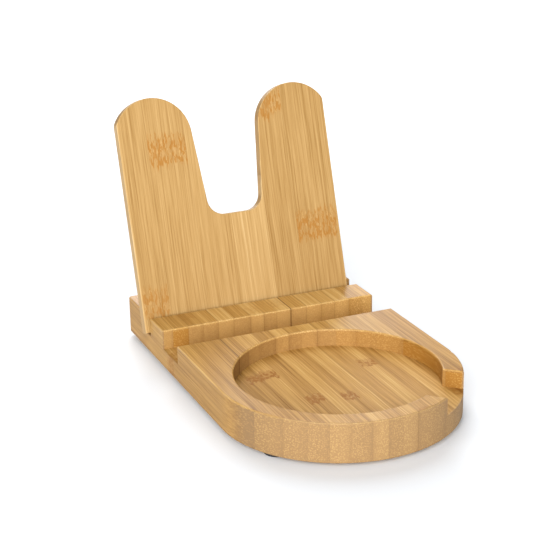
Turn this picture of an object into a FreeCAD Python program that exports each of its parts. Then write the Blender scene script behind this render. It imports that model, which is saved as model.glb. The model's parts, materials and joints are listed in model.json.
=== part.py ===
import FreeCAD, Part
import math
import os
import Sketcher

# Bamboo phone stand: a laminated bamboo board with a round dish in its nose,
# a phone groove across it and a slot behind the groove, a loose back panel that
# leans in the slot, and four round rubber feet.
# Row frame: X across, +Y towards the back, +Z up, Z = 0 on the table.

doc = FreeCAD.newDocument("phone_stand")

# Driving dimensions, in millimetres and degrees. Distances called "reach" are
# measured along Y from the centre of the round dish.
DIMENSIONS = [
    ("base_width", 120.0),
    ("base_height", 20.0),
    ("rear_reach", 137.0),
    ("dish_radius", 50.0),
    ("dish_depth", 9.0),
    ("groove_reach", 59.5),
    ("groove_width", 22.0),
    ("groove_depth", 10.0),
    ("slot_reach", 100.5),
    ("slot_width", 9.0),
    ("slot_depth", 10.0),
    ("notch_width", 31.0),
    ("notch_angle", 44.0),
    ("notch_inner", 25.0),
    ("notch_outer", 75.0),
    ("corner_round", 2.0),
    ("edge_round", 0.8),
    ("panel_width", 118.0),
    ("panel_height", 121.6),
    ("panel_thickness", 6.0),
    ("panel_lean", 17.4),
    ("panel_shift", -3.5),
    ("panel_round", 0.5),
    ("shoulder_round", 4.0),
    ("arm_radius", 21.3),
    ("arm_centre", 40.3),
    ("gap_shift", 0.5),
    ("gap_floor", 56.2),
    ("gap_corner", 9.0),
    ("gap_flare", 5.2),
    ("slot_play", 0.1),
    ("foot_radius", 6.0),
    ("foot_height", 2.5),
    ("foot_round", 0.5),
    ("foot_across", 44.0),
    ("foot_front_reach", -26.5),
    ("foot_rear_reach", 125.0),
    ("dish_centre_y", -41.3),
]

sheet = doc.addObject("Spreadsheet::Sheet", "dims")
for row, (alias, value) in enumerate(DIMENSIONS, start=1):
    sheet.set("A%d" % row, alias)
    sheet.set("B%d" % row, str(value))
    sheet.setAlias("B%d" % row, alias)
doc.recompute()
dim = dict(DIMENSIONS)


def new_body(label):
    body = doc.addObject("PartDesign::Body", label)
    body.Label = label
    return body


def origin_plane(body, role):
    return next(item for item in body.Origin.OriginFeatures if item.Role == role)


def new_sketch(body, name, role, offset=None):
    """A sketch on one of the body's own origin planes; offset is its bound height."""
    sketch = body.newObject("Sketcher::SketchObject", name)
    sketch.AttachmentSupport = [(origin_plane(body, role), "")]
    sketch.MapMode = "FlatFace"
    if offset:
        sketch.setExpression("AttachmentOffset.Base.z", offset)
    return sketch


def bind(sketch, name, constraint, expression):
    index = sketch.addConstraint(constraint)
    sketch.renameConstraint(index, name)
    sketch.setExpression("Constraints." + name, expression)


def join(sketch, first, first_end, second, second_end, kind="Coincident"):
    sketch.addConstraint(Sketcher.Constraint(kind, first, first_end, second, second_end))


def line(start, end):
    return Part.LineSegment(FreeCAD.Vector(*start, 0), FreeCAD.Vector(*end, 0))


def arc(centre, radius, start_deg, end_deg):
    circle = Part.Circle(FreeCAD.Vector(*centre, 0), FreeCAD.Vector(0, 0, 1), radius)
    return Part.ArcOfCircle(circle, math.radians(start_deg), math.radians(end_deg))


def rectangle(sketch, width, reach, depth):
    """A rectangle centred on X, from reach to reach + depth along Y; all three bound."""
    x, y0, y1 = 0.6 * dim["base_width"], 10.0, 20.0
    bottom, right, top, left = sketch.addGeometry(
        [line((-x, y0), (x, y0)), line((x, y0), (x, y1)),
         line((x, y1), (-x, y1)), line((-x, y1), (-x, y0))], False)
    for first, second in ((bottom, right), (right, top), (top, left), (left, bottom)):
        join(sketch, first, 2, second, 1)
    for side, kind in ((top, "Horizontal"), (left, "Vertical"), (right, "Vertical")):
        sketch.addConstraint(Sketcher.Constraint(kind, side))
    sketch.addConstraint(Sketcher.Constraint("Symmetric", bottom, 1, bottom, 2, -2))
    bind(sketch, "width", Sketcher.Constraint("DistanceX", bottom, 1, bottom, 2, 2 * x), width)
    bind(sketch, "reach", Sketcher.Constraint("DistanceY", -1, 1, bottom, 1, y0), reach)
    bind(sketch, "depth", Sketcher.Constraint("DistanceY", right, 1, right, 2, y1 - y0), depth)


def pocket_down(body, sketch, name, depth):
    """Cuts downwards from a sketch that lies on the board's top, and checks that it cut."""
    doc.recompute()
    before = body.Shape.Volume
    pocket = body.newObject("PartDesign::Pocket", name)
    pocket.Profile = sketch
    pocket.Type = "Length"
    pocket.setExpression("Length", depth)
    doc.recompute()
    if body.Shape.Volume > before - 1.0:
        raise RuntimeError(name + " cut nothing")
    return pocket


def edge_names(shape, wanted):
    return ["Edge%d" % (i + 1) for i, edge in enumerate(shape.Edges) if wanted(edge)]


def round_edges(body, name, wanted, radius):
    base = body.Tip
    fillet = body.newObject("PartDesign::Fillet", name)
    fillet.Base = (base, edge_names(base.Shape, wanted))
    fillet.setExpression("Radius", radius)
    doc.recompute()
    return fillet


def lies_at(edge, height, tolerance=1e-4):
    box = edge.BoundBox
    return abs(box.ZMin - height) < tolerance and abs(box.ZMax - height) < tolerance


# ---------------------------------------------------------------- base board
# Local frame of the board: origin under the centre of the dish, on the underside.
board = new_body("base_board")
half = dim["base_width"] / 2
outline = new_sketch(board, "outline", "XY_Plane")
rear = dim["rear_reach"]
right, back, left, nose = outline.addGeometry(
    [line((half, 0), (half, rear)), line((half, rear), (-half, rear)),
     line((-half, rear), (-half, 0)), arc((0, 0), half, 180, 360)], False)
join(outline, right, 2, back, 1)
join(outline, back, 2, left, 1)
join(outline, left, 2, nose, 1, "Tangent")
join(outline, nose, 2, right, 1, "Tangent")
join(outline, nose, 3, -1, 1)
outline.addConstraint(Sketcher.Constraint("Vertical", right))
outline.addConstraint(Sketcher.Constraint("Horizontal", back))
bind(outline, "nose_radius", Sketcher.Constraint("Radius", nose, half), "dims.base_width / 2")
bind(outline, "rear", Sketcher.Constraint("DistanceY", -1, 1, back, 1, rear), "dims.rear_reach")
plate = board.newObject("PartDesign::Pad", "plate")
plate.Profile = outline
plate.setExpression("Length", "dims.base_height")
doc.recompute()

round_edges(
    board, "rear_corners",
    lambda e: abs(e.BoundBox.ZLength - dim["base_height"]) < 1e-4 and e.BoundBox.YMin > rear - 1,
    "dims.corner_round")

crossing = "dims.base_width + 20"
for name, reach, width, depth in (
        ("phone_groove", "dims.groove_reach", "dims.groove_width", "dims.groove_depth"),
        ("panel_slot", "dims.slot_reach", "dims.slot_width", "dims.slot_depth")):
    cut = new_sketch(board, name + "_sketch", "XY_Plane", "dims.base_height")
    rectangle(cut, crossing, reach, width)
    pocket_down(board, cut, name, depth)

dish = new_sketch(board, "dish_sketch", "XY_Plane", "dims.base_height")
ring = dish.addGeometry(
    Part.Circle(FreeCAD.Vector(0, 0, 0), FreeCAD.Vector(0, 0, 1), dim["dish_radius"]), False)
join(dish, ring, 3, -1, 1)
bind(dish, "radius", Sketcher.Constraint("Radius", ring, dim["dish_radius"]), "dims.dish_radius")
pocket_down(board, dish, "round_dish", "dims.dish_depth")

# The notch is a straight channel from the dish out through the rim, on the right of the nose.
notch = new_sketch(board, "notch_sketch", "XY_Plane", "dims.base_height")
notch.AttachmentOffset = FreeCAD.Placement(
    FreeCAD.Vector(0, 0, dim["base_height"]),
    FreeCAD.Rotation(FreeCAD.Vector(0, 0, -1), 90 + dim["notch_angle"]))
notch.setExpression("AttachmentOffset.Rotation.Angle", "90 + dims.notch_angle")
rectangle(notch, "dims.notch_width", "dims.notch_inner", "dims.notch_outer - dims.notch_inner")
pocket_down(board, notch, "rim_notch", "dims.dish_depth")

# Sanded edges: everything that lies in the top face, then the rim of the underside.
round_edges(board, "top_edges", lambda e: lies_at(e, dim["base_height"]), "dims.edge_round")
round_edges(board, "underside_edges", lambda e: lies_at(e, 0.0), "dims.edge_round")

board.setExpression("Placement.Base.y", "dims.dish_centre_y")
board.setExpression("Placement.Base.z", "dims.foot_height")

# ---------------------------------------------------------------- back panel
# Local frame of the panel: X across, Z up the panel, its front face in the XZ plane,
# its lower front edge on the X axis and the middle of the gap on the Z axis. The two
# arms have round heads, cut by the panel's straight outer edges, and the gap between
# them widens upwards. The gap is a little to the right of the panel's own middle.
panel = new_body("back_panel")
right_side = dim["panel_width"] / 2 - dim["gap_shift"]
left_side = dim["panel_width"] / 2 + dim["gap_shift"]
flare = math.radians(dim["gap_flare"])
head_x = dim["arm_centre"]
head_z = dim["panel_height"] - dim["arm_radius"]
head = dim["arm_radius"]
right_shoulder = math.acos((right_side - head_x) / head)
left_shoulder = math.acos((left_side - head_x) / head)
corner = dim["gap_corner"]
floor_z = dim["gap_floor"]
corner_z = floor_z + corner
touch = (head_x - head * math.cos(flare), head_z + head * math.sin(flare))
wall_x = touch[0] - (touch[1] - corner_z) * math.tan(flare)
corner_x = wall_x - corner / math.cos(flare)
turn = (corner_x + corner * math.cos(flare), corner_z - corner * math.sin(flare))
right_top = (right_side, head_z + head * math.sin(right_shoulder))
left_top = (-left_side, head_z + head * math.sin(left_shoulder))

face = new_sketch(panel, "face", "XZ_Plane")
deg = math.degrees
flare_deg = dim["gap_flare"]
foot_edge, right_edge, right_head, right_wall, right_corner, gap_edge, left_corner, left_wall, \
    left_head, left_edge = face.addGeometry([
        line((-left_side, 0), (right_side, 0)),
        line((right_side, 0), right_top),
        arc((head_x, head_z), head, deg(right_shoulder), 180 - flare_deg),
        line(touch, turn),
        arc((corner_x, corner_z), corner, 270, 360 - flare_deg),
        line((corner_x, floor_z), (-corner_x, floor_z)),
        arc((-corner_x, corner_z), corner, 180 + flare_deg, 270),
        line((-turn[0], turn[1]), (-touch[0], touch[1])),
        arc((-head_x, head_z), head, flare_deg, 180 - deg(left_shoulder)),
        line(left_top, (-left_side, 0)),
    ], False)
join(face, foot_edge, 2, right_edge, 1)
join(face, right_edge, 2, right_head, 1)
join(face, right_head, 2, right_wall, 1, "Tangent")
join(face, right_wall, 2, right_corner, 2, "Tangent")
join(face, right_corner, 1, gap_edge, 1, "Tangent")
join(face, gap_edge, 2, left_corner, 2, "Tangent")
join(face, left_corner, 1, left_wall, 1, "Tangent")
join(face, left_wall, 2, left_head, 1, "Tangent")
join(face, left_head, 2, left_edge, 1)
join(face, left_edge, 2, foot_edge, 1)
for index in (right_edge, left_edge):
    face.addConstraint(Sketcher.Constraint("Vertical", index))
face.addConstraint(Sketcher.Constraint("PointOnObject", foot_edge, 1, -1))
face.addConstraint(Sketcher.Constraint("Symmetric", gap_edge, 1, gap_edge, 2, -2))
face.addConstraint(Sketcher.Constraint("Symmetric", right_head, 3, left_head, 3, -2))
face.addConstraint(Sketcher.Constraint("Equal", right_head, left_head))
face.addConstraint(Sketcher.Constraint("Equal", right_corner, left_corner))
bind(face, "width",
     Sketcher.Constraint("DistanceX", foot_edge, 1, foot_edge, 2, left_side + right_side),
     "dims.panel_width")
bind(face, "right_side", Sketcher.Constraint("DistanceX", -1, 1, foot_edge, 2, right_side),
     "dims.panel_width / 2 - dims.gap_shift")
bind(face, "head_radius", Sketcher.Constraint("Radius", right_head, head), "dims.arm_radius")
bind(face, "head_across", Sketcher.Constraint("DistanceX", -1, 1, right_head, 3, head_x),
     "dims.arm_centre")
bind(face, "head_height", Sketcher.Constraint("DistanceY", -1, 1, right_head, 3, head_z),
     "dims.panel_height - dims.arm_radius")
bind(face, "gap_height", Sketcher.Constraint("DistanceY", -1, 1, gap_edge, 1, floor_z),
     "dims.gap_floor")
bind(face, "corner_radius", Sketcher.Constraint("Radius", right_corner, corner),
     "dims.gap_corner")
bind(face, "flare", Sketcher.Constraint("Angle", -2, 2, right_wall, 1, -flare),
     "-dims.gap_flare")
leaf = panel.newObject("PartDesign::Pad", "leaf")
leaf.Profile = face
leaf.Reversed = True
leaf.setExpression("Length", "dims.panel_thickness")
doc.recompute()

# The shoulders, where an arm's round head meets the straight outer edge.
round_edges(
    panel, "shoulders",
    lambda e: e.BoundBox.YLength > 1 and e.BoundBox.XLength < 1e-4 and any(
        abs(e.BoundBox.XMin - x) < 1e-4 and abs(e.BoundBox.ZMin - z) < 1e-4
        for x, z in (right_top, left_top)),
    "dims.shoulder_round")

front_y, back_y = 0.0, dim["panel_thickness"]
round_edges(
    panel, "sanded_edges",
    lambda e: e.BoundBox.YLength < 1e-4 and min(abs(e.BoundBox.YMin - front_y),
                                                abs(e.BoundBox.YMin - back_y)) < 1e-4,
    "dims.panel_round")

# The panel leans back in the slot: its lower front edge is at the foot of the slot's front
# wall, its lower back edge just above the slot's floor and its back on the slot's rear rim.
panel.Placement = FreeCAD.Placement(
    FreeCAD.Vector(0, 0, 0), FreeCAD.Rotation(FreeCAD.Vector(-1, 0, 0), dim["panel_lean"]))
panel.setExpression("Placement.Rotation.Angle", "dims.panel_lean")
panel.setExpression("Placement.Base.x", "dims.panel_shift + dims.gap_shift")
panel.setExpression("Placement.Base.y", "dims.dish_centre_y + dims.slot_reach + dims.slot_play")
panel.setExpression(
    "Placement.Base.z",
    "dims.foot_height + dims.base_height - dims.slot_depth + dims.slot_play"
    " + dims.panel_thickness * sin(dims.panel_lean * 1 deg)")

# ---------------------------------------------------------------- rubber feet
feet = []
for end, reach in (("front", "dims.foot_front_reach"), ("rear", "dims.foot_rear_reach")):
    for hand, sign in (("left", "-"), ("right", "")):
        foot = new_body("foot_%s_%s" % (end, hand))
        sole = new_sketch(foot, "%s_%s_sole" % (end, hand), "XY_Plane")
        disc = sole.addGeometry(
            Part.Circle(FreeCAD.Vector(0, 0, 0), FreeCAD.Vector(0, 0, 1), dim["foot_radius"]),
            False)
        join(sole, disc, 3, -1, 1)
        bind(sole, "radius", Sketcher.Constraint("Radius", disc, dim["foot_radius"]),
             "dims.foot_radius")
        pad = foot.newObject("PartDesign::Pad", "%s_%s_pad" % (end, hand))
        pad.Profile = sole
        pad.setExpression("Length", "dims.foot_height")
        doc.recompute()
        round_edges(foot, "%s_%s_rim" % (end, hand), lambda e: lies_at(e, 0.0),
                    "dims.foot_round")
        foot.setExpression("Placement.Base.x", sign + "dims.foot_across")
        foot.setExpression("Placement.Base.y", "dims.dish_centre_y + " + reach)
        feet.append(foot)

doc.recompute()

# ---------------------------------------------------------------- checks and files
for item in doc.Objects:
    if "Invalid" in item.State or "Error" in item.State:
        raise RuntimeError(item.Name + " did not build")
subparts = [board, panel] + feet
for body in subparts:
    if body.Shape.isNull() or not body.Shape.isValid() or len(body.Shape.Solids) != 1:
        raise RuntimeError(body.Label + " is not one valid solid")

os.makedirs("parts", exist_ok=True)
for body in subparts:
    body.Shape.exportStep(os.path.join("parts", body.Label + ".step"))
    box = body.Shape.BoundBox
    print("%-18s x %7.2f %7.2f  y %7.2f %7.2f  z %7.2f %7.2f" % (
        body.Label, box.XMin, box.XMax, box.YMin, box.YMax, box.ZMin, box.ZMax))
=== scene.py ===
import json
import math
import bpy
from mathutils import Matrix, Vector


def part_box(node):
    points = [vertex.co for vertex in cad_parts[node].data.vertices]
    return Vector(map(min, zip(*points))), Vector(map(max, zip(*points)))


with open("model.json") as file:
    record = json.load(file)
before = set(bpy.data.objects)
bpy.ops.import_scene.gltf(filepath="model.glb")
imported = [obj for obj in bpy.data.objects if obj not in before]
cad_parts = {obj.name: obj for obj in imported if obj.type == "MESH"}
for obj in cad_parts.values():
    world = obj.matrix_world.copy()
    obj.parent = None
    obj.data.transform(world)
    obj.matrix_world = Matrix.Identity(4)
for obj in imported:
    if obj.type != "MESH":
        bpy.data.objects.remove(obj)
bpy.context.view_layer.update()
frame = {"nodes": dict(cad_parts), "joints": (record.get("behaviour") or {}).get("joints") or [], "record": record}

MM = 0.001

# ------------------------------------------------------------------ frame facts
nodes = frame["nodes"]
board_low, board_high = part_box("base_board")
board_length = (board_high[1] - board_low[1]) / MM
dish = next(mount for mount in frame["record"]["mounts"] if mount["name"] == "round_dish")
dish_centre = (0.0, dish["pos_m"][1] / MM, 0.0)
lift = next(joint for joint in frame["joints"] if joint["name"] == "panel_lift")
panel_up = Vector(lift["axis"]).normalized()
panel_low, panel_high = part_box("back_panel")
# The middle of the panel's lower front edge, the origin of its own plane.
panel_foot = (0.5 * (panel_low[0] + panel_high[0]) / MM, panel_low[1] / MM, panel_low[2] / MM)


# ------------------------------------------------------------------ node graphs
class Nodes:
    """A short way to write nodes: most calls add one to the tree and return its output."""

    def __init__(self, tree):
        self.tree = tree

    def add(self, kind, **settings):
        node = self.tree.nodes.new(kind)
        for key, value in settings.items():
            setattr(node, key, value)
        return node

    def link(self, source, target):
        """Join an output to an input, or set the input to a number or a tuple."""
        if isinstance(source, (int, float, tuple)):
            target.default_value = source
        else:
            self.tree.links.new(source, target)

    def math(self, operation, a, b=0.0, c=0.0, clamp=False):
        node = self.add("ShaderNodeMath", operation=operation, use_clamp=clamp)
        for value, target in zip((a, b, c), node.inputs):
            self.link(value, target)
        return node.outputs[0]

    def times(self, a, b):
        return self.math("MULTIPLY", a, b)

    def plus(self, a, b):
        return self.math("ADD", a, b)

    def minus(self, a, b):
        return self.math("SUBTRACT", a, b)

    def vector(self, operation, a, b):
        node = self.add("ShaderNodeVectorMath", operation=operation)
        self.link(a, node.inputs[0])
        self.link(b, node.inputs[1])
        return node.outputs["Value" if operation == "DOT_PRODUCT" else "Vector"]

    def combine(self, x, y, z):
        node = self.add("ShaderNodeCombineXYZ")
        for value, target in zip((x, y, z), node.inputs):
            self.link(value, target)
        return node.outputs[0]

    def noise(self, position, detail=2.0, roughness=0.5, scale=1.0):
        node = self.add("ShaderNodeTexNoise", noise_dimensions="3D")
        self.link(position, node.inputs["Vector"])
        node.inputs["Scale"].default_value = scale
        node.inputs["Detail"].default_value = detail
        node.inputs["Roughness"].default_value = roughness
        return node.outputs["Fac"]

    def cells(self, position, randomness):
        node = self.add("ShaderNodeTexVoronoi", voronoi_dimensions="3D", feature="F1")
        self.link(position, node.inputs["Vector"])
        node.inputs["Scale"].default_value = 1.0
        node.inputs["Randomness"].default_value = randomness
        return node.outputs["Distance"]

    def random(self, seed):
        node = self.add("ShaderNodeTexWhiteNoise", noise_dimensions="1D")
        self.link(seed, node.inputs["W"])
        return node.outputs["Value"]

    def step(self, value, start, end, low=0.0, high=1.0):
        """A smooth step from low at start to high at end."""
        node = self.add("ShaderNodeMapRange", interpolation_type="SMOOTHSTEP")
        for source, target in zip((value, start, end, low, high), node.inputs):
            self.link(source, target)
        return node.outputs[0]

    def ramp(self, value, stops, interpolation="LINEAR"):
        """Colours, or plain numbers, at their places between 0 and 1."""
        node = self.add("ShaderNodeValToRGB")
        ramp = node.color_ramp
        ramp.interpolation = interpolation
        while len(ramp.elements) < len(stops):
            ramp.elements.new(1.0)
        for element, (place, colour) in zip(ramp.elements, stops):
            element.position = place
            element.color = (*colour, 1.0) if isinstance(colour, tuple) else (*(colour,) * 3, 1.0)
        self.link(value, node.inputs[0])
        return node.outputs[0]

    def mix(self, factor, a, b):
        node = self.add("ShaderNodeMix", data_type="RGBA")
        self.link(factor, node.inputs["Factor"])
        colours = [socket for socket in node.inputs if socket.type == "RGBA"]
        for source, target in zip((a, b), colours):
            self.link((*source, 1.0) if isinstance(source, tuple) else source, target)
        return next(socket for socket in node.outputs if socket.type == "RGBA")

    def bump(self, height, strength, distance):
        node = self.add("ShaderNodeBump")
        node.inputs["Strength"].default_value = strength
        node.inputs["Distance"].default_value = distance
        self.link(height, node.inputs["Height"])
        return node.outputs[0]


class Material(Nodes):
    """The nodes of a new material, with its shader already joined to its output."""

    def __init__(self, name):
        self.material = bpy.data.materials.new(name)
        self.material.use_nodes = True
        super().__init__(self.material.node_tree)
        self.tree.nodes.clear()
        out = self.add("ShaderNodeOutputMaterial")
        self.shader = self.add("ShaderNodeBsdfPrincipled")
        self.link(self.shader.outputs[0], out.inputs["Surface"])


# ------------------------------------------------------------------ bamboo
# Linear RGB: the wood from its darkest to its brightest, then what is mixed into it.
PALETTE = [(0.00, (0.150, 0.060, 0.008)), (0.25, (0.265, 0.125, 0.023)),
           (0.50, (0.400, 0.215, 0.054)), (0.75, (0.520, 0.303, 0.090)),
           (1.00, (0.640, 0.430, 0.170))]
END_GRAIN = (0.33, 0.24, 0.14)
AMBER = (0.34, 0.150, 0.022)
PALE_AMBER = (0.45, 0.25, 0.06)
FLECK = (0.560, 0.350, 0.130)
GLUE = (0.110, 0.042, 0.008)

# Along the board from the dish's centre, in millimetres: where a look sets in, where it is full.
# The first two bound the painted light on the block, which offsets the shade the panel casts there.
BLOCK_FRONT, BLOCK_BACK = (60.0, 78.0), (112.0, 100.0)
DISH_BACK = (59.0, 57.0)
JOINTS_BEHIND = (52.0, 66.0)
JOINTS_AHEAD_FRONT, JOINTS_AHEAD_BACK = (24.0, 36.0), (80.0, 60.0)

# The same for how squarely a face stands to the fibres, or to the depth of the board.
CUTS_FIBRES = (0.10, 0.36)
# The second pair picks the rounded edges, which are pale from sanding and carry a painted highlight.
SANDING_AND_HIGHLIGHT_FROM, SANDING_AND_HIGHLIGHT_TO = (0.15, 0.45), (0.98, 0.85)
WALL = (0.6, 0.2)

# Noises: cells to a millimetre across the fibres, and along them; how far they set strips apart.
SWAY, BROAD, STREAK, FINE = (0.05, 0.02), (0.42, 0.006), (1.25, 0.014), (3.4, 0.05)
BUNDLES, BUNDLES_SCATTER = (1.4, 0.014), 0.9
APART, BUNDLES_APART = 90.0, 40.0
SWAY_MM = 0.8

# Edges, from where a look sets in to where it is full. CROWD ends in its two strengths.
BUNDLE_EDGE, CROWD, INNER_EDGE = (0.50, 0.22), (0.0, 0.7, 0.55, 1.0), (0.30, 0.0)
FLAME_EDGE, FLECK_EDGE = (0.46, 0.60), (0.56, 0.66)
JOINT_EDGE_MM, MILLED_EDGE_MM = (0.45, 0.12), 0.6
NOSE_EDGE_MM, SIDE_EDGE_MM = (1.2, 0.6), (1.0, 0.6)

# Shifts of brightness, where 1 is the whole of PALETTE.
STREAKS_LOST_ON_END = 0.70
DOTS_ON_END, DOTS_LOST_BURNISHED, THREADS = 0.42, 0.26, 0.05
END_SHADE, INNER_SHADE = 0.22, 0.08
USUAL_TONE, TONE_LOST_ON_END = 0.62, 0.55
# The rounded edges are lifted by the next amount: pale from sanding, with a painted highlight.
SANDING_AND_HIGHLIGHT_LIFT = 0.24

# How much of another colour is mixed in.
# The first is the outer wall's paleness: partly from sanding, partly a painted sheen on its long-grain sides.
PALE_AND_SHEEN_OUTSIDE, PALE_OUTSIDE_END = 0.16, 0.29
PALE_CUT, PALE_LOST_IN_AMBER = 0.18, 0.11
AMBER_SHARE, PALE_IN_DOTS = 0.78, 0.75
KNOT_TINT, FLECK_SHARE = 0.7, 0.40
JOINT_AHEAD, ROWS_SHARE = 0.25, 0.09

# Roughness, height of the relief, and the relief's own strength and depth.
DULL, DULL_FIBRES, DULL_MILLED, DULL_END = 0.32, 0.14, 0.16, 0.08
HIGH_FIBRES, LOW_BUNDLES, LOW_JOINTS, LOW_KNOTS = 0.5, 0.3, 0.6, 0.4
RELIEF, RELIEF_MM = 0.30, 0.10


class Bamboo(Material):
    """Bamboo glued up from strips, as a solid texture in the frame's own millimetres.

    strips are (limit, tone, knot, mark, joint, amber, dark): where a strip begins across the
    board, how bright it is, where its node ring lies along the grain and how strongly that
    shows, how dark the glue line at its limit is, how amber its end grain is where a cutter
    went, and how much darker its outer wall is, partly its tone and partly painted shade. A glue
    line below zero shows only from the rear half of the dish to the groove. end is the last
    strip's other limit. They are measured from origin, with across, along and through as the
    directions of a strip's width, its fibres and its depth.
    """

    def __init__(self, name, strips, end, across, along, through, origin, seed):
        super().__init__(name)
        place = self.add("ShaderNodeTexCoord")
        metres = self.vector("SUBTRACT", place.outputs["Object"], tuple(v * MM for v in origin))
        self.a, self.l, self.d = (
            self.times(self.vector("DOT_PRODUCT", metres, tuple(axis)), 1.0 / MM)
            for axis in (across, along, through))
        facing_along, self.facing_through = (
            self.math("ABSOLUTE", self.vector("DOT_PRODUCT", place.outputs["Normal"], tuple(axis)))
            for axis in (along, through))
        # 1 on end grain, 0 on a face along the fibres.
        self.end_grain = self.step(facing_along, *CUTS_FIBRES)
        self.find_strip(strips, end, seed)

    def find_strip(self, strips, end, seed):
        """Which strip a point is in, and what is the same all over that strip."""
        count = len(strips)
        limits = [strip[0] for strip in strips] + [end]
        span = end - limits[0]
        part = self.math("DIVIDE", self.minus(self.a, limits[0]), span, clamp=True)
        stops = [((limit - limits[0]) / span, i / count) for i, limit in enumerate(limits)]
        strip = self.times(self.ramp(part, stops), count - 1e-3)
        index = self.math("FLOOR", strip)
        self.inside = self.math("FRACT", strip)

        def per_strip(which, values, low=0.0, high=1.0):
            """One value for each strip, in steps of a ramp that runs from low to high."""
            slot = self.math("DIVIDE", self.plus(which, 0.5), len(values))
            steps = [(i / len(values), (value - low) / (high - low)) for i, value in enumerate(values)]
            return self.math("MULTIPLY_ADD", self.ramp(slot, steps, "CONSTANT"), high - low, low)

        tones, knots, marks, joints, ambers, darks = list(zip(*strips))[1:]
        self.tone = per_strip(index, tones)
        self.mark = per_strip(index, marks)
        self.amber = per_strip(index, ambers)
        self.dark = per_strip(index, darks)
        self.joint = per_strip(self.math("ROUND", strip), [*joints, 0.0], -1.0, 1.0)
        self.width = per_strip(index, [b - a for a, b in zip(limits, limits[1:])], 0.0, span)
        self.from_knot = self.minus(self.l, per_strip(index, knots, -board_length, board_length))
        self.chance = self.random(self.plus(index, seed))
        # 0 at the side of a strip that was the inside of the culm, 1 at the side that was skin.
        inner_side = self.math("GREATER_THAN", self.chance, 0.5)
        self.to_skin = self.math("ABSOLUTE", self.minus(self.inside, inner_side))

    def grain(self, per_mm, along_per_mm, shift=0.0, detail=2.0):
        """Noise in the wood, finer with per_mm; shift sets it apart from the other noises."""
        apart = self.math("MULTIPLY_ADD", self.chance, APART, shift)
        return self.noise(self.combine(
            self.times(self.bent, per_mm), self.times(self.l, along_per_mm),
            self.math("MULTIPLY_ADD", self.d, per_mm, apart)), detail=detail, roughness=0.6)

    def around(self, value, amount):
        """Noise turned into a shift of plus or minus amount."""
        return self.times(self.minus(value, 0.5), 2.0 * amount)

    def bend_fibres(self, reach, size, wave):
        """Let the fibres wander a little, and swirl by wave where they pass a knot."""
        self.bent = self.a
        sway = self.grain(*SWAY)
        self.swirl = self.grain(0.9 / size, 0.75 / size, shift=7.0, detail=1.0)
        past = self.math("DIVIDE", self.from_knot, reach)
        near_knot = self.times(self.math("EXPONENT", self.times(self.times(past, past), -1.0)),
                               self.mark)
        bend = self.plus(self.around(sway, SWAY_MM),
                         self.times(self.around(self.swirl, wave), near_knot))
        self.bent = self.plus(self.a, bend)
        self.fine = self.grain(*FINE, shift=5.0)

    def bundles(self):
        """Vascular bundles: threads along the fibres, dots on end grain, crowded to the skin."""
        per_mm, along_per_mm = BUNDLES
        apart = self.times(self.chance, BUNDLES_APART)
        cell = self.cells(self.combine(
            self.times(self.bent, per_mm), self.times(self.l, along_per_mm),
            self.math("MULTIPLY_ADD", self.d, per_mm, apart)), BUNDLES_SCATTER)
        return self.times(self.step(cell, *BUNDLE_EDGE), self.step(self.to_skin, *CROWD))

    def outer_wall(self):
        """1 on the board's outer wall: its straight sides, its rear and its round nose."""
        half_width, rear = board_high[0] / MM, board_high[1] / MM - dish_centre[1]
        radius = self.math("SQRT", self.plus(self.times(self.a, self.a), self.times(self.l, self.l)))
        nose = self.times(self.step(radius, *(half_width - edge for edge in NOSE_EDGE_MM)),
                          self.step(self.l, 1.0, 0.0))
        sides = self.step(self.math("ABSOLUTE", self.a),
                          *(half_width - edge for edge in SIDE_EDGE_MM))
        back = self.step(self.l, *(rear - edge for edge in SIDE_EDGE_MM))
        return self.math("MAXIMUM", nose, self.math("MAXIMUM", sides, back))

    def wood(self, bundle, outside, milled, cut, streaks, block_painted_light, tint):
        """Colour of the plain wood: a brightness, turned into a colour by PALETTE."""
        broad = self.grain(*BROAD, detail=3.0)
        streak = self.grain(*STREAK, shift=3.0)
        wood = self.plus(self.around(broad, streaks[0]), self.around(streak, streaks[1]))
        wood = self.plus(wood, self.around(self.fine, streaks[2]))
        wood = self.times(wood, self.math("MULTIPLY_ADD", self.end_grain, -STREAKS_LOST_ON_END, 1.0))
        value = self.plus(self.tone, wood)

        # Bundles are faint dark threads; on end grain, bright dots, less so if it is burnished.
        burnished = self.times(cut, self.minus(1.0, self.amber))
        crisp = self.times(self.end_grain, self.math(
            "MULTIPLY_ADD", burnished, -DOTS_LOST_BURNISHED, DOTS_ON_END))
        value = self.plus(value, self.times(bundle, self.minus(crisp, THREADS)))

        # End grain is darker, most of all at the inner side, and its strips differ less in tone.
        inner = self.step(self.to_skin, *INNER_EDGE)
        shade = self.times(self.end_grain, self.math(
            "MULTIPLY_ADD", inner, INNER_SHADE, END_SHADE))
        # The end grain of the outer wall is darkened by each strip's last value: partly the strip's tone, partly
        # painted shade.
        shade = self.plus(shade, self.times(self.times(self.end_grain, outside), self.dark))
        even = self.times(self.times(self.end_grain, self.minus(self.tone, USUAL_TONE)),
                          TONE_LOST_ON_END)
        value = self.minus(value, self.plus(shade, even))

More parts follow.
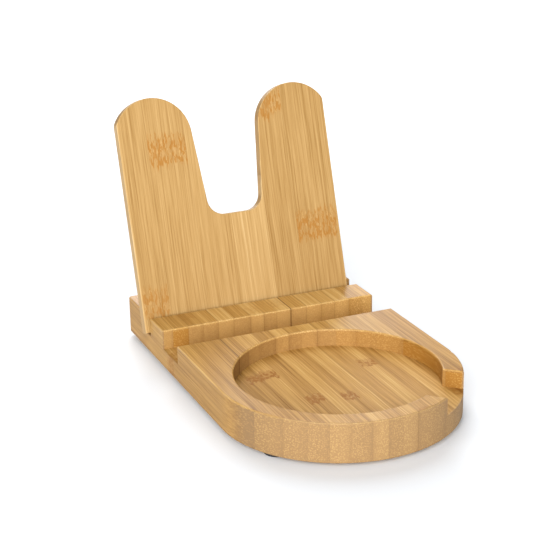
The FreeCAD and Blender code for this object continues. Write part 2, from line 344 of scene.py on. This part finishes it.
        # Painted light: the block between groove and slot is lifted, to offset the shade the panel casts on it.
        # The rounded edges, which stand neither along nor square to the depth of the board, are lighter: pale from
        # sanding, with a painted highlight.
        painted_light_on_block = self.times(self.step(self.l, *BLOCK_FRONT), self.step(self.l, *BLOCK_BACK))
        value = self.plus(value, self.times(painted_light_on_block, block_painted_light))
        sanding_and_highlight = self.times(self.step(self.facing_through, *SANDING_AND_HIGHLIGHT_FROM),
                            self.step(self.facing_through, *SANDING_AND_HIGHLIGHT_TO))
        value = self.plus(value, self.times(self.times(sanding_and_highlight, self.minus(1.0, milled)),
                                            SANDING_AND_HIGHLIGHT_LIFT))
        return self.ramp(value, [(place, tuple(c * t for c, t in zip(colour, tint)))
                                 for place, colour in PALETTE])

    def walls(self, colour, bundle, outside, cut):
        """The outside is pale from sanding, with a painted sheen on its long-grain sides; walls that a cutter made
        stay a deeper honey.
        """
        pale_and_sheen_outside = self.times(outside, self.math(
            "MULTIPLY_ADD", self.end_grain, PALE_OUTSIDE_END, PALE_AND_SHEEN_OUTSIDE))
        pale_cut = self.times(self.end_grain, self.math(
            "MULTIPLY_ADD", self.amber, -PALE_LOST_IN_AMBER, PALE_CUT))
        colour = self.mix(self.math("MAXIMUM", pale_and_sheen_outside, pale_cut), colour, END_GRAIN)

        # Amber shows round the right of the dish and, on the left, on the block behind it.
        wall = self.step(self.facing_through, *WALL)
        on_right = self.math("GREATER_THAN", self.a, 0.0)
        about_dish = self.step(self.l, *DISH_BACK)
        elsewhere = self.math("ABSOLUTE", self.minus(on_right, about_dish))
        amber = self.times(self.times(wall, cut),
                           self.times(self.amber, self.minus(1.0, elsewhere)))
        return self.mix(self.times(amber, AMBER_SHARE), colour,
                        self.mix(self.times(bundle, PALE_IN_DOTS), AMBER, PALE_AMBER))

    def knots(self, colour, reach, size, depth, knot_colour):
        """Knots: fringed bands across the strips, with rows of dark flames and pale flecks."""
        fringe = self.grain(1.6 / size, 0.03, shift=9.0, detail=1.0)
        wander = self.plus(self.from_knot, self.around(self.swirl, 0.3 * reach))
        wander = self.plus(wander, self.around(fringe, 0.8 * reach))
        begin, full, row = 1.10 * reach, 0.70 * reach, 0.8 * reach
        band = self.step(self.math("ABSOLUTE", wander), begin, full)
        band = self.times(self.times(band, self.mark), self.minus(1.0, self.end_grain))
        cross, long = 1.5 / size, 0.40 / size
        rows = self.math("SINE", self.times(wander, 2 * math.pi / row))
        flames = self.plus(self.grain(cross, long, shift=11.0), self.times(rows, ROWS_SHARE))
        flames = self.times(band, self.step(flames, *FLAME_EDGE))
        flecks = self.step(self.grain(1.3 * cross, 1.3 * long, shift=17.0), *FLECK_EDGE)
        colour = self.mix(self.times(band, KNOT_TINT * depth ** 3), colour, knot_colour)
        colour = self.mix(self.times(self.times(band, flecks), FLECK_SHARE), colour, FLECK)
        return self.mix(self.times(flames, depth), colour, knot_colour), flames

    def glue_lines(self, colour):
        """Glue lines: a hairline at each limit of a strip, fainter ahead of the groove."""
        to_limit = self.times(self.math("MINIMUM", self.inside, self.minus(1.0, self.inside)),
                              self.width)
        hairline = self.step(to_limit, *JOINT_EDGE_MM)
        behind = self.times(self.math("MAXIMUM", self.joint, 0.0),
                            self.step(self.l, *JOINTS_BEHIND, JOINT_AHEAD, 1.0))
        ahead = self.times(self.math("MINIMUM", self.joint, 0.0), self.times(
            self.step(self.l, *JOINTS_AHEAD_BACK), self.step(self.l, *JOINTS_AHEAD_FRONT)))
        dark = self.times(hairline, self.minus(behind, ahead))
        return self.mix(dark, colour, GLUE), hairline

    def finish(self, polished_above, knot_reach, knot_size, knot_wave, knot_depth, knot_colour,
               streaks, block_painted_light, tint, ior):
        """Join it all to the shader: a thin satin lacquer over wood with open fibres."""
        self.bend_fibres(knot_reach, knot_size, knot_wave)
        milled = self.step(self.d, polished_above, polished_above - MILLED_EDGE_MM)
        bundle, outside = self.bundles(), self.outer_wall()
        cut = self.times(milled, self.minus(1.0, outside))
        colour = self.wood(bundle, outside, milled, cut, streaks, block_painted_light, tint)
        colour = self.walls(colour, bundle, outside, cut)
        colour, flames = self.knots(colour, knot_reach, knot_size, knot_depth, knot_colour)
        colour, hairline = self.glue_lines(colour)
        self.link(colour, self.shader.inputs["Base Color"])

        dull = self.plus(self.times(self.fine, DULL_FIBRES), self.times(milled, DULL_MILLED))
        self.link(self.plus(dull, self.math("MULTIPLY_ADD", self.end_grain, DULL_END, DULL)),
                  self.shader.inputs["Roughness"])
        self.shader.inputs["IOR"].default_value = ior
        height = self.minus(self.times(self.fine, HIGH_FIBRES), self.times(bundle, LOW_BUNDLES))
        height = self.minus(height, self.plus(self.times(hairline, LOW_JOINTS),
                                              self.times(flames, LOW_KNOTS)))
        self.link(self.bump(height, RELIEF, RELIEF_MM * MM), self.shader.inputs["Normal"])
        return self.material


# The last column is partly each strip's tone on its outer wall and partly painted shade there.
BOARD_STRIPS = [
    (-60.0, 0.52, 70, 0.5, 0.00, 0.0, 0.20), (-54.3, 0.46, -75, 0.5, 0.12, 1.0, 0.08),
    (-45.8, 0.48, 95, 0.2, 0.15, 0.0, 0.08), (-37.3, 0.50, 24, 0.9, -0.75, 0.0, 0.09),
    (-29.2, 0.66, 26, 1.0, 0.15, 0.0, 0.08), (-20.5, 0.52, -9, 0.9, 0.15, 0.0, 0.10),
    (-11.0, 0.76, 88, 0.2, 0.15, 0.0, 0.09), (-3.6, 0.54, -13, 0.9, 0.20, 0.0, 0.11),
    (3.8, 0.70, 92, 0.2, 0.15, 0.0, 0.09), (11.9, 0.58, -60, 0.5, 0.85, 0.0, 0.11),
    (21.0, 0.70, 19, 0.8, 0.20, 0.2, 0.19), (29.6, 0.62, -95, 0.5, 0.15, 0.30, 0.14),
    (37.6, 0.72, 62, 0.6, 0.20, 0.35, 0.18), (46.0, 0.46, -30, 0.5, 0.15, 1.0, 0.12),
    (54.0, 0.56, 96, 0.2, 0.10, 1.0, 0.16)]
board_bamboo = Bamboo(
    "board_bamboo", BOARD_STRIPS, end=60.0, across=(1, 0, 0), along=(0, 1, 0), through=(0, 0, 1),
    origin=dish_centre, seed=5.0).finish(
    polished_above=board_high[2] / MM - 0.9, knot_reach=4.8, knot_size=2.9, knot_wave=1.2,
    knot_depth=0.85, knot_colour=(0.29, 0.106, 0.010), streaks=(0.30, 0.44, 0.30), block_painted_light=0.13,
    tint=(1.02, 0.99, 0.92), ior=1.29)

# A knot at 150 lies past the panel's end, so it doesn't show.
PANEL_STRIPS = [
    (-59.0, 0.66, 150, 0.0, 0.00, 0.0, 0.0), (-58.4, 0.53, 17, 0.8, 0.00, 0.0, 0.0),
    (-44.0, 0.54, 95, 1.0, 0.06, 0.0, 0.0), (-23.0, 0.56, -40, 0.8, 0.08, 0.0, 0.0),
    (-3.0, 0.64, 150, 0.8, 0.06, 0.0, 0.0), (17.0, 0.49, 114, 0.9, 0.10, 0.0, 0.0),
    (34.0, 0.49, 45, 1.0, 0.05, 0.0, 0.0), (58.4, 0.60, 150, 0.0, 0.00, 0.0, 0.0)]
panel_bamboo = Bamboo(
    "panel_bamboo", PANEL_STRIPS, end=59.0, across=(1, 0, 0), along=panel_up,
    through=panel_up.cross(Vector((1, 0, 0))), origin=panel_foot, seed=11.0).finish(
    polished_above=-40.0, knot_reach=8.5, knot_size=2.0, knot_wave=1.0, knot_depth=0.66,
    knot_colour=(0.33, 0.130, 0.015), streaks=(0.10, 0.32, 0.24), block_painted_light=0.0,
    tint=(0.965, 1.06, 1.45), ior=1.2)


def rubber():
    """Black rubber with a matt grain and some dust."""
    clean, dusty = (0.3, (0.010, 0.010, 0.011)), (0.8, (0.030, 0.029, 0.028))
    grain_per_m, dust_per_m, roughness = 2200.0, 160.0, (0.62, 0.78)
    paint = Material("foot_rubber")
    place = paint.add("ShaderNodeTexCoord")
    grain = paint.noise(place.outputs["Object"], detail=3.0, scale=grain_per_m)
    dust = paint.noise(place.outputs["Object"], detail=2.0, scale=dust_per_m)
    shade = paint.ramp(dust, [clean, dusty])
    paint.link(shade, paint.shader.inputs["Base Color"])
    paint.link(paint.step(dust, clean[0], dusty[0], *roughness), paint.shader.inputs["Roughness"])
    paint.link(paint.bump(grain, 0.5, 0.1 * MM), paint.shader.inputs["Normal"])
    return paint.material


foot_rubber = rubber()


def finish_with(node, material):
    mesh = node.data
    mesh.materials.clear()
    mesh.materials.append(material)


finish_with(nodes["base_board"], board_bamboo)
finish_with(nodes["back_panel"], panel_bamboo)
for name, node in nodes.items():
    if name.startswith("foot_"):
        finish_with(node, foot_rubber)


# ------------------------------------------------------------------ studio
FLOOR_REACH = 6.0
PAPER = [(0.3, (0.80, 0.825, 0.855)), (0.7, (0.81, 0.835, 0.865))]
# Each light's name, place, diameter and watts; the sky's strengths and its brightest side.
LIGHTS = [("overhead", (0.2, 0.7, 1.1), 1.0, 10.5), ("front_left", (-0.9, -1.3, 0.7), 1.2, 30.0),
          ("behind", (0.27, 1.3, 0.6), 1.0, 11.0)]
LIGHTS_AIM = (0.0, 0.02, 0.04)
SKY_LOW, SKY_HIGH, BRIGHT_SIDE = 0.06, 2.72, (-0.32, -0.947, 0.0)


def floor():
    mesh = bpy.data.meshes.new("studio_floor")
    corners = [(x * FLOOR_REACH, y * FLOOR_REACH, 0.0)
               for x, y in ((-1, -1), (1, -1), (1, 1), (-1, 1))]
    mesh.from_pydata(corners, [], [(0, 1, 2, 3)])
    plane = bpy.data.objects.new("studio_floor", mesh)
    bpy.context.scene.collection.objects.link(plane)
    paint = Material("studio_paper")
    place = paint.add("ShaderNodeTexCoord")
    mottle = paint.noise(place.outputs["Object"], detail=2.0, scale=3.0)
    paint.link(paint.ramp(mottle, PAPER), paint.shader.inputs["Base Color"])
    paint.shader.inputs["Roughness"].default_value = 0.9
    paint.shader.inputs["Specular IOR Level"].default_value = 0.1
    mesh.materials.append(paint.material)


def area_light(name, place, size, power):
    light = bpy.data.lights.new(name, "AREA")
    light.shape = "DISK"
    light.size = size
    light.energy = power
    lamp = bpy.data.objects.new(name, light)
    lamp.location = place
    lamp.rotation_euler = (Vector(LIGHTS_AIM) - Vector(place)).to_track_quat("-Z", "Y").to_euler()
    bpy.context.scene.collection.objects.link(lamp)


def sky():
    """Light from all round, brightest on BRIGHT_SIDE; a camera sees the same white everywhere."""
    world = bpy.data.worlds.new("studio")
    world.use_nodes = True
    light = Nodes(world.node_tree)
    look = light.tree.nodes["Background"]
    look.inputs["Color"].default_value = (1.0, 1.0, 1.0, 1.0)
    place = light.add("ShaderNodeTexCoord")
    toward = light.vector("DOT_PRODUCT", place.outputs["Generated"], BRIGHT_SIDE)
    toward = light.math("POWER", light.math("MAXIMUM", toward, 0.0), 2.0)
    strength = light.add("ShaderNodeMapRange")
    light.link(toward, strength.inputs["Value"])
    light.link(SKY_LOW, strength.inputs["To Min"])
    light.link(SKY_HIGH, strength.inputs["To Max"])
    ray = light.add("ShaderNodeLightPath")
    seen = light.add("ShaderNodeMix", data_type="FLOAT")
    light.link(ray.outputs["Is Camera Ray"], seen.inputs[0])
    light.link(strength.outputs["Result"], seen.inputs[2])
    light.link(1.0, seen.inputs[3])
    light.link(seen.outputs[0], look.inputs["Strength"])
    return world


floor()
for light in LIGHTS:
    area_light(*light)
bpy.context.scene.world = sky()
bpy.context.scene.view_settings.view_transform = "Standard"

# ------------------------------------------------------------------ camera
AZIMUTH, ELEVATION, ROLL = (math.radians(v) for v in (-23.40, 20.30, -0.90))
DISTANCE = 0.819
FRAME_SIDE, SENSOR, FOCAL = 560, 36.0, 1494.0
target = Vector((0.0200, 0.0728, 0.0265))
back = Vector((math.sin(AZIMUTH) * math.cos(ELEVATION),
               -math.cos(AZIMUTH) * math.cos(ELEVATION), math.sin(ELEVATION)))
level = Vector((0, 0, 1)).cross(back).normalized()
upright = back.cross(level)
right = math.cos(ROLL) * level + math.sin(ROLL) * upright
up = back.cross(right)
lens = bpy.data.cameras.new("camera")
lens.sensor_width = SENSOR
lens.lens = FOCAL / FRAME_SIDE * SENSOR
lens.clip_start = 0.01
camera = bpy.data.objects.new("camera", lens)
camera.matrix_world = Matrix.Translation(target + back * DISTANCE) @ Matrix(
    (right, up, back)).transposed().to_4x4()
bpy.context.scene.collection.objects.link(camera)
bpy.context.scene.camera = camera
